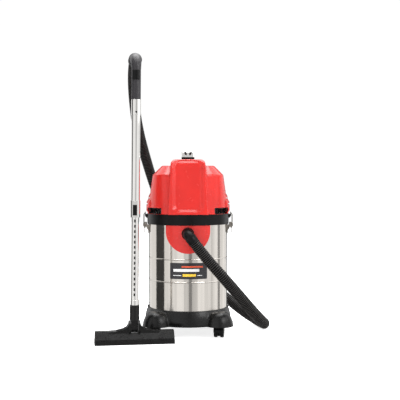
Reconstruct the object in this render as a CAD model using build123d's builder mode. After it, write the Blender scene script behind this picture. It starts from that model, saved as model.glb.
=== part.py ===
"""Wet and dry shop vacuum: steel drum on a four-caster trolley, lift-off motor head, hose and telescopic wand.

Millimetres. The origin is on the floor under the drum's axis, +Z is up and the inlet faces -Y.
"""

from build123d import *
from math import cos, pi, radians, sin, tan
import os

# ---- driving dimensions -------------------------------------------------------------------
TANK_R = 160.0
TANK_WALL = 1.0
TANK_BOTTOM_Z = 75.0
TANK_TOP_Z = 457.0
BEAD_Z = (216.5, 306.0)
BEAD_R = 2.6
RIM_R = 2.0

BASE_Z = 42.0
BASE_TOP_Z = 105.0
LOBE_XY = (124.0, 130.0)
LOBE_R = 57.0
LOBE_WAIST_R = 46.0
LOBE_TOP_Z = 98.0
POCKET_Z = 69.0
SEAT_R = 160.8
SKIN = 3.0

WHEEL_R = 22.5
WHEEL_W = 14.0
WHEEL_GAP = 5.3
AXLE_R = 3.0
STEM_R = 5.5
CASTER_TRAIL = 13.0
RUN_FIT = 0.05
CASTER_TURN = {"front_left": 200.0, "front_right": 262.0, "rear_left": 20.0, "rear_right": -30.0}

BAND_R = 167.0
BAND_Z = (442.0, 484.0)
DECK_Z = (466.0, 472.0)
DECK_R = 158.6
SUCTION_R = 15.0

COVER_Z = (484.3, 641.0, 679.0)
COVER_W = (333.0, 287.0, 211.0)
COVER_D = (333.0, 279.0, 196.0)
COVER_CORNER = (166.0, 92.0, 52.0)
RIDGE_TOP_Z = 703.5
RIDGE_W = (157.0, 136.0)
RIDGE_FRONT = (170.0, 150.0)
RECESS_W = 104.0
RECESS_FRONT, RECESS_BACK = 9.0, 3.5
RIM_STEPS = 3
RIM_STEP_W = 4.5
VENT_ANGLE = (40.0, 75.0)
VENT_Z = (486.0, 509.0)
LOUVRES = ((592.0, 560.0, 155.0), (568.0, 536.0, 163.0), (544.0, 493.0, 171.0))
LOUVRE_SPAN = 64.0
RECESS_Z = (503.0, 698.0)
SCOOP_W, SCOOP_L, SCOOP_DEPTH = 46.0, 96.0, 20.0
HANDLE_FOOT_Y = 66.0
HANDLE_PEG_R = 4.0
POST_AT = 140.0
POST_R = 6.5
SCREW_R = 2.0
SWITCH_AT = (0.0, 640.0)
SWITCH_W, SWITCH_H = 22.0, 30.0
GLAND_AT = (-32.0, 520.0)
GLAND_R = 8.0
GRILLE_SLOTS = 6
HANDLE_Z = (713.0, 738.0)
HANDLE_W = 50.0
SWITCH_FACE_Y = 154.0
SWITCH_PIVOT_Y, SWITCH_PIN_R = 149.0, 2.0

FAN_TOP_Z = 530.0
MOTOR_TOP_Z = 646.0
SHAFT_R = 4.0
BEARING_R = 11.0
CAGE_DEPTH = 116.0
FLOAT_R = 18.0

INLET_Z = 409.0
INLET_R = 19.6
SOCKET_R = 25.0
PLATE_R = 88.0
PLATE_LOW_Z = 331.0
PLATE_SHELL = (160.3, 163.4)

HOSE_R = 22.5
HOSE_CUFF_R = 26.0
ELBOW_R = 22.0
ELBOW_LIP = 6.0
CUFF_L = 34.0

PIVOT = (173.0, 445.0)
BAIL_PIVOT = (181.5, 440.0)
LUG_HALF = 9.5
BAIL_HALF = 13.5
BAIL_WIRE_R = 1.4
RIVET_R = 1.8

WAND_FOOT = (-204.5, -262.0)
WAND_LEAN = 0.0075
LOWER_TUBE_R = 15.0
UPPER_TUBE_R = 17.0
TUBE_WALL = 1.2
SLEEVE_R = 19.0
SLEEVE_Z = (479.0, 543.0)
UPPER_TUBE_Z = (500.0, 927.0)
SOCKET_Z = 868.0
LOWER_TUBE_Z = (96.0, 580.0)
GRIP_R = 17.8
GRIP_STRAIGHT_Z = 1040.0
GRIP_BORE_R = 13.5
GRIP_END_R = 24.0
SPIGOT_R = 17.2
REGULATOR_Z = (1002.0, 1038.0)
REGULATOR_TRAVEL = 14.0
CATCH_R = 3.5
CATCH_Z = 879.0
BUTTON_Z = (487.0, 527.0)
BUTTON_TRAVEL = 6.0
NOTCHES = 15
NOTCH_PITCH = 20.0
NOTCH_FROM_Z = 180.0
GRIP_BEND_R = 48.0
GRIP_TURN = 95.0
GRIP_HEADING = 8.0

NOZZLE_W = 303.0
NOZZLE_D = 74.0
NOZZLE_TURN = 8.5
TILT_Z = 60.0
DRUM_R = 17.0
PIN_R = 5.0
NECK_Z = 88.0
NECK_TOP_Z = 146.0
NECK_R = 18.5
INSERT_H = 16.0
NOZZLE_LIP = 1.2
RIBS = 5
RIB_SPACING = 11.7

# The free hose: from the elbow's mouth, down to the floor at the right, round behind the drum and up
# to the cuff behind the grip.
HOSE_ROUTE = (
    (21.7, -198.7, 380.1),
    (66.0, -186.4, 321.0),
    (128.0, -194.0, 252.0),
    (196.0, -158.0, 172.0),
    (250.0, -116.0, 106.0),
    (298.0, -60.0, 50.0),
    (321.0, 22.0, 23.0),
    (296.0, 124.0, 22.6),
    (228.0, 204.0, 57.0),
    (130.0, 262.0, 134.0),
    (24.0, 290.0, 248.0),
    (-72.0, 286.0, 396.0),
    (-138.0, 262.0, 560.0),
    (-184.0, 206.0, 712.0),
    (-216.0, 104.0, 850.0),
    (-225.0, 22.0, 966.0),
    (-222.0, -70.0, 1056.0),
    (-208.4, -176.7, 1084.8),
)


def save(builder, name):
    """Label a finished piece and write it as the STEP file of that name."""
    builder.part.label = name
    export_step(builder.part, f"parts/{name}.step")


def wand_plane(height):
    """The plane across the wand's slightly leaning axis at a height above the floor."""
    origin = (WAND_FOOT[0] + WAND_LEAN * height, WAND_FOOT[1], height)
    return Plane(origin=origin, x_dir=(1, 0, -WAND_LEAN), z_dir=(WAND_LEAN, 0, 1))


def ring(low, high, outer, inner=0.0):
    """A plain ring, or a disc, about the drum's axis."""
    with BuildPart() as made:
        with BuildSketch(Plane.XY.offset(low)):
            Circle(outer)
            if inner:
                Circle(inner, mode=Mode.SUBTRACT)
        extrude(amount=high - low)
    return made.part


# ---- trolley and casters --------------------------------------------------------------------
def lobe():
    """A domed pad standing on the trolley's lower edge."""
    brim = (LOBE_R - 1.5, BASE_Z + 8)
    with BuildPart() as pad:
        with BuildSketch(Plane.XZ):
            with BuildLine():
                Polyline((0, LOBE_TOP_Z), (0, BASE_Z), (LOBE_R, BASE_Z), brim)
                Spline(brim, (LOBE_WAIST_R + 2, BASE_Z + 34), (LOBE_WAIST_R - 12, LOBE_TOP_Z - 3.5),
                       (0, LOBE_TOP_Z), tangents=((-0.15, 1), (-1, 0)))
            make_face()
        revolve(axis=Axis.Z)
    return pad.part


def lobe_pocket():
    """The space that a caster turns in, under a lobe."""
    with BuildPart() as pocket:
        with BuildSketch(Plane.XY.offset(BASE_Z)):
            Circle(LOBE_R - SKIN)
        extrude(amount=POCKET_Z - BASE_Z, taper=15)
        fillet(pocket.edges().group_by(Axis.Z)[-1], 6)
    return pocket.part


def make_trolley_base():
    pad, hollow = lobe(), lobe_pocket()
    corners = GridLocations(2 * LOBE_XY[0], 2 * LOBE_XY[1], 2, 2)
    with BuildPart() as base:
        with BuildSketch(Plane.XZ):
            with BuildLine():
                Polyline((SEAT_R + 2, BASE_TOP_Z), (SEAT_R, BASE_TOP_Z), (SEAT_R, TANK_BOTTOM_Z - 0.3),
                         (0, TANK_BOTTOM_Z - 0.3), (0, POCKET_Z), (150, POCKET_Z), (168, 62), (168, BASE_Z),
                         (173, BASE_Z), (176, 54))
                ThreePointArc((176, 54), (172.4, 80), (SEAT_R + 2, BASE_TOP_Z))
            make_face()
        revolve(axis=Axis.Z)
        with corners:
            add(pad)
        with BuildSketch(Plane.XY.offset(TANK_BOTTOM_Z - 0.3)):
            Circle(SEAT_R)
        extrude(amount=60, mode=Mode.SUBTRACT)
        with corners:
            add(hollow, mode=Mode.SUBTRACT)
        with BuildSketch(Plane.XY.offset(BASE_Z + 12)):
            with corners:
                Circle(12)
        extrude(amount=20)
        with BuildSketch(Plane.XY.offset(BASE_Z)):
            with corners:
                Circle(STEM_R + RUN_FIT)
        extrude(amount=32, mode=Mode.SUBTRACT)
        with BuildSketch(Plane.XY.offset(BASE_TOP_Z - 14)):
            with Locations((-163.6, 0), (163.6, 0)):
                Rectangle(4.6, 22)
        extrude(amount=18)
    save(base, "trolley_base")


def make_caster(name, x, y, turn):
    """A hooded twin-wheel caster whose wheels trail its stem by CASTER_TRAIL, turned about the stem."""
    across = Plane(origin=(x, y, WHEEL_R), x_dir=(cos(radians(turn)), sin(radians(turn)), 0),
                   z_dir=(sin(radians(turn)), -cos(radians(turn)), 0))
    axle = across.shift_origin(across.from_local_coords((CASTER_TRAIL, 0, 0)))
    half = WHEEL_GAP + WHEEL_W
    with BuildPart() as fork:
        with BuildSketch(axle):
            Circle(WHEEL_R + 3.6)
        extrude(amount=half + 0.2, both=True)
        for side in (1, -1):
            with BuildSketch(axle.offset(side * (WHEEL_GAP - 0.6))):
                Circle(WHEEL_R + 1.4)
            extrude(amount=side * (half + 5), mode=Mode.SUBTRACT)
        with BuildSketch(axle):
            with Locations((0, 20)):
                Rectangle(80, 40)
            with Locations((0, -6)):
                Circle(12)
        extrude(amount=half + 5, both=True, mode=Mode.INTERSECT)
        with BuildSketch(Plane.XY.offset(WHEEL_R + 22)):
            with Locations((x, y)):
                Circle(8.5)
        extrude(amount=8)
        with BuildSketch(Plane.XY.offset(WHEEL_R + 26)):
            with Locations((x, y)):
                Circle(STEM_R)
        extrude(amount=24)
        with BuildSketch(axle):
            Circle(AXLE_R)
        extrude(amount=half - 1, both=True)
    save(fork, f"caster_fork_{name}")
    with BuildPart() as wheels:
        for side in (1, -1):
            with BuildSketch(axle.offset(side * WHEEL_GAP)):
                Circle(WHEEL_R)
                Circle(AXLE_R + RUN_FIT, mode=Mode.SUBTRACT)
            extrude(amount=side * WHEEL_W)
        rims = [e for e in wheels.edges().filter_by(GeomType.CIRCLE) if e.radius > WHEEL_R - 1]
        fillet(rims, 4)
    save(wheels, f"caster_wheels_{name}")


# ---- drum and inlet ---------------------------------------------------------------------------
def bucket(radius, low, high, rounding):
    """A round solid with a rounded bottom edge."""
    with BuildPart() as made:
        with BuildSketch(Plane.XY.offset(low)):
            Circle(radius)
        extrude(amount=high - low)
        fillet(made.edges().group_by(Axis.Z)[0], rounding)
    return made.part


def make_tank_drum():
    with BuildPart() as drum:
        add(bucket(TANK_R, TANK_BOTTOM_Z, TANK_TOP_Z - RIM_R, 9))
        for z in BEAD_Z:
            with BuildSketch(Plane.XZ):
                with Locations((TANK_R - 0.9, z)):
                    Circle(BEAD_R)
            revolve(axis=Axis.Z)
        add(bucket(TANK_R - TANK_WALL, TANK_BOTTOM_Z + TANK_WALL, 2 * TANK_TOP_Z, 8), mode=Mode.SUBTRACT)
        with BuildSketch(Plane.XZ):
            with Locations((TANK_R + 0.2, TANK_TOP_Z - RIM_R)):
                Circle(RIM_R)
        revolve(axis=Axis.Z)
        with BuildSketch(Plane.XZ.offset(100)):
            with Locations((0, INLET_Z)):
                Circle(INLET_R + 3.2)
        extrude(amount=100, mode=Mode.SUBTRACT)
    save(drum, "tank_drum")


def make_inlet_plate():
    """A tongue-shaped cover curved round the drum, hanging from just under the head's band."""
    with BuildPart() as plate:
        add(ring(300, BAND_Z[0] - 0.4, PLATE_SHELL[1], PLATE_SHELL[0]))
        with BuildSketch(Plane.XZ.offset(100)):
            with Locations((0, PLATE_LOW_Z + PLATE_R)):
                Circle(PLATE_R)
            with Locations((0, PLATE_LOW_Z + PLATE_R + 40)):
                Rectangle(2 * PLATE_R, 80)
            with Locations((0, INLET_Z)):
                Circle(SOCKET_R - 1.6, mode=Mode.SUBTRACT)
        extrude(amount=100, mode=Mode.INTERSECT)
    save(plate, "inlet_plate")


def make_inlet_socket():
    """The flanged collar that the hose's elbow pushes into, through the plate and the drum's wall."""
    with BuildPart() as socket:
        with BuildSketch(Plane.XZ.offset(150)):
            with Locations((0, INLET_Z)):
                Circle(SOCKET_R)
        extrude(amount=23)
        with BuildSketch(Plane.XY.offset(INLET_Z - 60)):
            Circle(PLATE_SHELL[1] + 0.1)
        extrude(amount=120, mode=Mode.SUBTRACT)
        with BuildSketch(Plane.XZ.offset(140)):
            with Locations((0, INLET_Z)):
                Circle(INLET_R + 3)
        extrude(amount=32)
        with BuildSketch(Plane.XZ.offset(130)):
            with Locations((0, INLET_Z)):
                Circle(INLET_R)
        extrude(amount=60, mode=Mode.SUBTRACT)
        fillet(socket.edges().filter_by(GeomType.CIRCLE).sort_by(Axis.Y)[0:2], 0.9)
    save(socket, "inlet_socket")


def make_inlet_nut():
    with BuildPart() as nut:
        with BuildSketch(Plane.XZ.offset(145)):
            with Locations((0, INLET_Z)):
                RegularPolygon(31, 8)
                Circle(INLET_R + 3.1, mode=Mode.SUBTRACT)
        extrude(amount=9)
    save(nut, "inlet_nut")


def make_inlet_deflector():
    """A hood inside the drum that turns the incoming air and water down towards the bottom."""
    with BuildPart() as hood:
        with BuildSketch(Plane.XZ.offset(96)):
            with Locations((0, INLET_Z - 4)):
                RectangleRounded(66, 68, 12)
        extrude(amount=49)
        with BuildSketch(Plane.XZ.offset(99)):
            with Locations((0, INLET_Z - 10)):
                RectangleRounded(60, 74, 9)
        extrude(amount=60, mode=Mode.SUBTRACT)
    save(hood, "inlet_deflector")


# ---- head: base, cover and trim -----------------------------------------------------------------
def make_head_base():
    """The black ring whose skirt caps the drum, with the motor's deck and the two latch lugs."""
    skirt = TANK_R + 3.4
    with BuildPart() as head_base:
        add(ring(*BAND_Z, BAND_R, skirt))
        add(ring(*DECK_Z, skirt + 0.5))
        add(ring(DECK_Z[1] - 1, BAND_Z[1] - 4, BAND_R - 1, DECK_R))
        with BuildSketch(Plane.XY.offset(DECK_Z[0] - 5)):
            Circle(SUCTION_R)
        extrude(amount=20, mode=Mode.SUBTRACT)
        with BuildSketch(Plane.XY.offset(DECK_Z[0] - 5)):
            with PolarLocations(140, 4, start_angle=0):
                Circle(2.2)
        extrude(amount=20, mode=Mode.SUBTRACT)
        for side in (-1, 1):
            with BuildSketch(Plane.XZ):
                with BuildLine():
                    Polyline((side * 164, 466), (side * 170, 466), (side * 177, 474), (side * 177, 486.5),
                             (side * 174.6, 486.5), (side * 174.6, 482), (side * 164, 482), (side * 164, 466))
                make_face()
            extrude(amount=LUG_HALF, both=True)
    save(head_base, "head_base")


def make_tank_gasket():
    with BuildPart() as gasket:
        add(ring(TANK_TOP_Z + 0.05, DECK_Z[0] - 0.05, TANK_R + 1.4, TANK_R - 8))
    save(gasket, "tank_gasket")


def ridge_outline(inset, front_cut, back_cut, floor_z):
    """The ridge that runs from front to back over the cover, with each end set back by a cut."""
    low, high = RIDGE_W[0] / 2 - inset, RIDGE_W[1] / 2 - inset
    foot, brow = RIDGE_FRONT[0] - inset, RIDGE_FRONT[1] - inset
    top = RIDGE_TOP_Z - inset
    with BuildPart() as ridge:
        with BuildSketch(Plane.XZ) as face:
            with BuildLine():
                Polyline((-low, floor_z), (low, floor_z), (high, top), (-high, top), (-low, floor_z))
            make_face()
            fillet(face.vertices().group_by(Axis.Y)[-1], 20 - inset)
        extrude(amount=200, both=True)
        with BuildSketch(Plane.YZ) as side:
            with BuildLine():
                Polyline((front_cut - foot, floor_z), (foot - back_cut, floor_z), (brow - back_cut, top),
                         (front_cut - brow, top), (front_cut - foot, floor_z))
            make_face()
            fillet(side.vertices().group_by(Axis.Y)[-1], 34 - inset)
        extrude(amount=200, both=True, mode=Mode.INTERSECT)
    return ridge.part


def cover_outline(inset, floor_z):
    """The cover's tapered, round-cornered block with its sloping roof."""
    with BuildPart() as block:
        for z, w, d, r in zip(COVER_Z, COVER_W, COVER_D, COVER_CORNER):
            height = floor_z if z == COVER_Z[0] else z - inset
            with BuildSketch(Plane.XY.offset(height)):
                RectangleRounded(w - 2 * inset, d - 2 * inset, r - inset)
        loft(ruled=True)
    return block.part


def ridge_recess(grow, front_cut, back_cut):
    """What the shallow panels at the ridge's front and back take away, grown by a margin, down to each cut."""
    low, high = RECESS_Z[0] - grow, RECESS_Z[1] + grow / 6
    with BuildPart() as panel:
        with BuildSketch(Plane.XZ):
            with Locations((0, (low + high) / 2)):
                RectangleRounded(RECESS_W + 2 * grow, high - low, 24)
        extrude(amount=220, both=True)
        add(ridge_outline(0, front_cut, back_cut, COVER_Z[0] - 1), mode=Mode.SUBTRACT)
    return panel.part


def vent_sector(inner, outer, low, high, trim):
    """Two wedges of a ring, one each side of the front, where the cooling air goes in."""
    with BuildPart() as wedges:
        with BuildSketch(Plane.XY.offset(low)):
            for side in (-1, 1):
                near = radians(270 + side * (VENT_ANGLE[0] + trim))
                far = radians(270 + side * (VENT_ANGLE[1] - trim))
                reach = 1.3 * outer
                with BuildLine():
                    Polyline((0, 0), (reach * cos(near), reach * sin(near)),
                             (reach * cos(far), reach * sin(far)), (0, 0))
                make_face()
            Circle(outer, mode=Mode.INTERSECT)
            Circle(inner, mode=Mode.SUBTRACT)
        extrude(amount=high - low)
    return wedges.part


def handle_scoop(grow):
    """The finger well in the cover's top, under the carry handle."""
    with BuildPart() as scoop:
        with BuildSketch(Plane.XY.offset(RIDGE_TOP_Z - SCOOP_DEPTH - grow)):
            RectangleRounded(SCOOP_W + 2 * grow, SCOOP_L + 2 * grow, 18 + grow)
        extrude(amount=60)
        fillet(scoop.edges().group_by(Axis.Z)[0], 10)
    return scoop.part


def make_head_cover():
    with BuildPart() as cover:
        add(cover_outline(0, COVER_Z[0]))
        add(louvre_steps(0))
        add(ridge_outline(0, 0, 0, COVER_Z[0]))
        add(handle_scoop(0), mode=Mode.SUBTRACT)
        add(hollow_of_cover(), mode=Mode.SUBTRACT)
        for step in range(RIM_STEPS):
            share = 1 - step / RIM_STEPS
            add(ridge_recess(step * RIM_STEP_W, RECESS_FRONT * share, RECESS_BACK * share), mode=Mode.SUBTRACT)
        add(vent_sector(120, 220, *VENT_Z, 0), mode=Mode.SUBTRACT)
        for top, low, reach in LOUVRES:
            with BuildSketch(Plane.XY.offset(top - 22)):
                with Locations((150, 0), (-150, 0)):
                    Rectangle(70, 2 * LOUVRE_SPAN - 26)
            extrude(amount=4, mode=Mode.SUBTRACT)
        with BuildSketch(Plane.XZ.offset(-100)):
            with Locations(SWITCH_AT):
                Rectangle(SWITCH_W + 0.4, SWITCH_H + 0.4)
            with Locations(GLAND_AT):
                Circle(GLAND_R + 0.2)
        extrude(amount=-100, mode=Mode.SUBTRACT)
        with BuildSketch(Plane.XY.offset(RIDGE_TOP_Z - 20)):
            with Locations((0, HANDLE_FOOT_Y), (0, -HANDLE_FOOT_Y)):
                with GridLocations(24, 1, 2, 1):
                    Circle(HANDLE_PEG_R + 0.1)
        extrude(amount=60, mode=Mode.SUBTRACT)
    save(cover, "head_cover")


def louvre_steps(inset):
    """The stepped bulge on each side, where the exhaust air leaves."""
    with BuildPart() as steps:
        for top, low, reach in LOUVRES:
            with BuildSketch(Plane.XZ):
                with BuildLine():
                    Polyline((100, low), (reach - inset, low), (reach - inset, top - 14),
                             (reach - 8 - inset, top - inset), (100, top - inset), (100, low))
                make_face()
            revolve(axis=Axis.Z)
        with BuildSketch(Plane.XY.offset(400)):
            with Locations((140, 0), (-140, 0)):
                RectangleRounded(120, 2 * (LOUVRE_SPAN - inset), 14)
        extrude(amount=300, mode=Mode.INTERSECT)
    return steps.part


def hollow_of_cover():
    """The space inside the cover, leaving its skin, the well's walls and four screw posts."""
    with BuildPart() as hollow:
        add(cover_outline(SKIN, COVER_Z[0] - 1))
        add(louvre_steps(SKIN))
        add(ridge_outline(SKIN, RECESS_FRONT, RECESS_BACK, COVER_Z[0] - 1))
        add(ridge_recess(SKIN, RECESS_FRONT + SKIN, RECESS_BACK + SKIN), mode=Mode.SUBTRACT)
        add(handle_scoop(SKIN), mode=Mode.SUBTRACT)
        with BuildSketch(Plane.XY.offset(COVER_Z[0] - 1)):
            with PolarLocations(POST_AT, 4, start_angle=0):
                Circle(POST_R)
                with Locations((15, 0)):
                    Rectangle(30, 3)
        extrude(amount=60, mode=Mode.SUBTRACT)
        with BuildSketch(Plane.XY.offset(COVER_Z[0] - 1)):
            with PolarLocations(POST_AT, 4, start_angle=0):
                Circle(SCREW_R + 0.1)
        extrude(amount=22)
    return hollow.part


def make_vent_grilles():
    """Black slatted inserts behind the two front vents."""
    with BuildPart() as grilles:
        add(vent_sector(153, 157.6, VENT_Z[0] - 1, VENT_Z[1] - 0.5, -1.5))
        with BuildSketch(Plane.XY.offset(VENT_Z[0] + 2)):
            for side in (-1, 1):
                for slot in range(GRILLE_SLOTS):
                    turn = VENT_ANGLE[0] + 4 + slot * (VENT_ANGLE[1] - VENT_ANGLE[0] - 8) / (GRILLE_SLOTS - 1)
                    with PolarLocations(156, 1, start_angle=270 + side * turn):
                        Rectangle(10, 13)
        extrude(amount=VENT_Z[1] - VENT_Z[0] - 5, mode=Mode.SUBTRACT)
    save(grilles, "vent_grilles")


def make_carry_handle():
    """A plated arch from front to back, wider at its two feet, with slanted ovals in each end."""
    low, high = HANDLE_Z
    reach = HANDLE_FOOT_Y + 13
    with BuildPart() as handle:
        with BuildSketch(Plane.YZ) as arch:
            with BuildLine():
                Polyline((-reach, low), (-reach + 5, high), (reach - 5, high), (reach, low), (-reach, low))
            make_face()
            fillet(arch.vertices().group_by(Axis.Y)[-1], 9)
            with Locations((0, low + 2)):
                RectangleRounded(2 * HANDLE_FOOT_Y - 26, 34, 8, mode=Mode.SUBTRACT)
        extrude(amount=30, both=True)
        with BuildSketch(Plane.XY) as plan:
            with BuildLine():
                half, waist, foot = HANDLE_W / 2, HANDLE_W / 2 - 9, HANDLE_FOOT_Y - 12
                Polyline((-half, -100), (half, -100), (half, -foot), (waist, -foot + 16), (waist, foot - 16),
                         (half, foot), (half, 100), (-half, 100), (-half, foot), (-waist, foot - 16),
                         (-waist, -foot + 16), (-half, -foot), (-half, -100))
            make_face()
        extrude(amount=900, mode=Mode.INTERSECT)
        for end in (-1, 1):
            with BuildSketch(Plane.XZ.offset(end * (reach - 10))):
                for side in (-1, 1):
                    with Locations(Location((side * 9.5, low + 15), side * -18)):
                        Ellipse(4.2, 8)
            extrude(amount=end * 30, mode=Mode.SUBTRACT)
        tops = [e for e in handle.edges() if e.center().Z > high - 0.1]
        fillet(tops, 2.5)
    save(handle, "carry_handle")


def make_handle_feet():
    """The black pads under the carry handle, each pegged into the cover."""
    with BuildPart() as feet:
        for end in (-1, 1):
            with BuildSketch(Plane.XY.offset(RIDGE_TOP_Z + 0.05)):
                with Locations((0, end * (HANDLE_FOOT_Y + 1))):
                    RectangleRounded(HANDLE_W + 2, 26, 4)
            extrude(amount=HANDLE_Z[0] - RIDGE_TOP_Z - 0.1)
            with BuildSketch(Plane.XY.offset(RIDGE_TOP_Z - 12)):
                with Locations((0, end * HANDLE_FOOT_Y)):
                    with GridLocations(24, 1, 2, 1):
                        Circle(HANDLE_PEG_R)
            extrude(amount=13)
    save(feet, "handle_feet")


def make_switch():
    x, z = SWITCH_AT
    with BuildPart() as bezel:
        with BuildSketch(Plane.XZ.offset(-SWITCH_FACE_Y)):
            with Locations(SWITCH_AT):
                RectangleRounded(SWITCH_W + 6, SWITCH_H + 6, 2)
        extrude(amount=-2)
        with BuildSketch(Plane.XZ.offset(-SWITCH_FACE_Y + 14)):
            with Locations(SWITCH_AT):
                Rectangle(SWITCH_W, SWITCH_H)
        extrude(amount=-14.5)
        with BuildSketch(Plane.XZ.offset(-SWITCH_FACE_Y + 12)):
            with Locations(SWITCH_AT):
                Rectangle(SWITCH_W - 5, SWITCH_H - 6)
        extrude(amount=-20, mode=Mode.SUBTRACT)
        with BuildSketch(Plane.YZ):
            with Locations((SWITCH_PIVOT_Y, z)):
                Circle(SWITCH_PIN_R + RUN_FIT)
        extrude(amount=SWITCH_W / 2 - 1, both=True, mode=Mode.SUBTRACT)
    save(bezel, "switch_bezel")
    with BuildPart() as rocker:
        with BuildSketch(Plane.YZ):
            with BuildLine():
                Polyline((SWITCH_FACE_Y - 9, z - 5), (SWITCH_FACE_Y - 9, z + 5), (SWITCH_FACE_Y - 2, z + 10.5),
                         (SWITCH_FACE_Y + 3, z + 10.5), (SWITCH_FACE_Y + 1, z), (SWITCH_FACE_Y + 0.5, z - 10.5),
                         (SWITCH_FACE_Y - 3, z - 10.5), (SWITCH_FACE_Y - 9, z - 5))
            make_face()
        extrude(amount=SWITCH_W / 2 - 3, both=True)
        with BuildSketch(Plane.YZ):
            with Locations((SWITCH_PIVOT_Y, z)):
                Circle(SWITCH_PIN_R)
        extrude(amount=SWITCH_W / 2 - 1.2, both=True)
    save(rocker, "rocker_switch")


def make_cable_gland():
    """The power lead's moulded gland at the back, with its locknut inside the cover."""
    with BuildPart() as gland:
        with BuildSketch(Plane.XZ.offset(-150)):
            with Locations(GLAND_AT):
                Circle(GLAND_R)
        extrude(amount=-30)
        with BuildSketch(Plane.XZ.offset(-167)):
            with Locations(GLAND_AT):
                Circle(GLAND_R + 4)
        extrude(amount=-4)
        with BuildSketch(Plane.XZ.offset(-151)):
            with Locations(GLAND_AT):
                RegularPolygon(GLAND_R + 4, 6)
        extrude(amount=-6)
        with BuildSketch(Plane.XZ.offset(-140)):
            with Locations(GLAND_AT):
                Circle(4)
        extrude(amount=-60, mode=Mode.SUBTRACT)
    save(gland, "cable_gland")


def make_cover_screws():
    with BuildPart() as screws:
        with BuildSketch(Plane.XY.offset(DECK_Z[0] - 3)):
            with PolarLocations(POST_AT, 4, start_angle=0):
                Circle(4)
        extrude(amount=3)
        with BuildSketch(Plane.XY.offset(DECK_Z[0] - 1)):
            with PolarLocations(POST_AT, 4, start_angle=0):
                Circle(SCREW_R)
        extrude(amount=38)
    save(screws, "cover_screws")


# ---- motor, fan, filter and float ----------------------------------------------------------------
def make_motor():
    deck = DECK_Z[1]
    with BuildPart() as gasket:
        add(ring(deck + 0.05, deck + 5, 60, 34))
    save(gasket, "motor_gasket")
    with BuildPart() as housing:
        add(ring(deck + 5.05, FAN_TOP_Z, 75))
        add(ring(deck + 6.5, FAN_TOP_Z - 1.5, 73.5), mode=Mode.SUBTRACT)
        add(ring(deck, deck + 20, 30), mode=Mode.SUBTRACT)
        add(ring(FAN_TOP_Z - 5, FAN_TOP_Z + 5, 20), mode=Mode.SUBTRACT)
        for turn in range(0, 360, 30):
            with BuildSketch(Plane(origin=(0, 0, FAN_TOP_Z - 16), x_dir=(-sin(radians(turn)), cos(radians(turn)), 0),
                                   z_dir=(cos(radians(turn)), sin(radians(turn)), 0))):
                SlotOverall(26, 10)
            extrude(amount=90, mode=Mode.SUBTRACT)
    save(housing, "fan_housing")
    with BuildPart() as frame:
        add(ring(FAN_TOP_Z + 0.05, FAN_TOP_Z + 6, 52, BEARING_R + 0.03))
        with BuildSketch(Plane.XY.offset(FAN_TOP_Z + 5)):
            with Locations((-44, 0), (44, 0)):
                Rectangle(10, 20)
        extrude(amount=MOTOR_TOP_Z - FAN_TOP_Z - 10)
        with BuildSketch(Plane.XY.offset(MOTOR_TOP_Z - 6)):
            SlotOverall(112, 26)
            Circle(BEARING_R + 0.03, mode=Mode.SUBTRACT)
        extrude(amount=6)
    save(frame, "motor_frame")
    with BuildPart() as bearings:
        for low in (FAN_TOP_Z + 0.2, MOTOR_TOP_Z - 5.8):
            add(ring(low, low + 5.6, BEARING_R, SHAFT_R + RUN_FIT))
    save(bearings, "motor_bearings")
    with BuildPart() as stator:
        add(ring(555, 603, 38.9, 27))
        with BuildSketch(Plane.XY.offset(549)):
            with PolarLocations(33, 2, start_angle=90):
                RectangleRounded(10, 44, 4)
        extrude(amount=60)
        add(ring(540, 620, 27), mode=Mode.SUBTRACT)
    save(stator, "motor_stator")
    with BuildPart() as brushes:
        with BuildSketch(Plane.XY.offset(615)):
            with Locations((-26.1, 0), (26.1, 0)):
                Rectangle(25.4, 7)
        extrude(amount=8)
    save(brushes, "carbon_brushes")
    with BuildPart() as foam:
        add(ring(deck + 0.05, 556, 124, 110))
    save(foam, "exhaust_foam")


def make_rotor():
    with BuildPart() as shaft:
        add(ring(484, MOTOR_TOP_Z + 12, SHAFT_R))
    save(shaft, "motor_shaft")
    with BuildPart() as fan:
        for low in (489, 502):
            add(ring(low, low + 1.5, 66, SHAFT_R + 0.02 if low > 495 else 24))
        add(ring(488, 506, 11, SHAFT_R + 0.02))
        with BuildSketch(Plane.XY.offset(490)):
            with PolarLocations(42, 9):
                with Locations(Location((0, 0), 28)):
                    Rectangle(38, 1.6)
        extrude(amount=12.5)
    save(fan, "suction_fan")
    with BuildPart() as armature:
        add(ring(556, 602, 26, SHAFT_R + 0.02))
        with BuildSketch(Plane.XY.offset(555)):
            with PolarLocations(25.5, 12):
                Rectangle(5, 2.6)
        extrude(amount=50, mode=Mode.SUBTRACT)
    save(armature, "armature")
    with BuildPart() as commutator:
        add(ring(608, 628, 13, SHAFT_R + 0.02))
    save(commutator, "commutator")
    with BuildPart() as cooling:
        add(ring(MOTOR_TOP_Z + 2, MOTOR_TOP_Z + 10, 12, SHAFT_R + 0.02))
        with BuildSketch(Plane.XY.offset(MOTOR_TOP_Z + 3)):
            with PolarLocations(23, 8):
                with Locations(Location((0, 0), 20)):
                    Rectangle(32, 1.6)
        extrude(amount=6)
    save(cooling, "cooling_fan")


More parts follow.
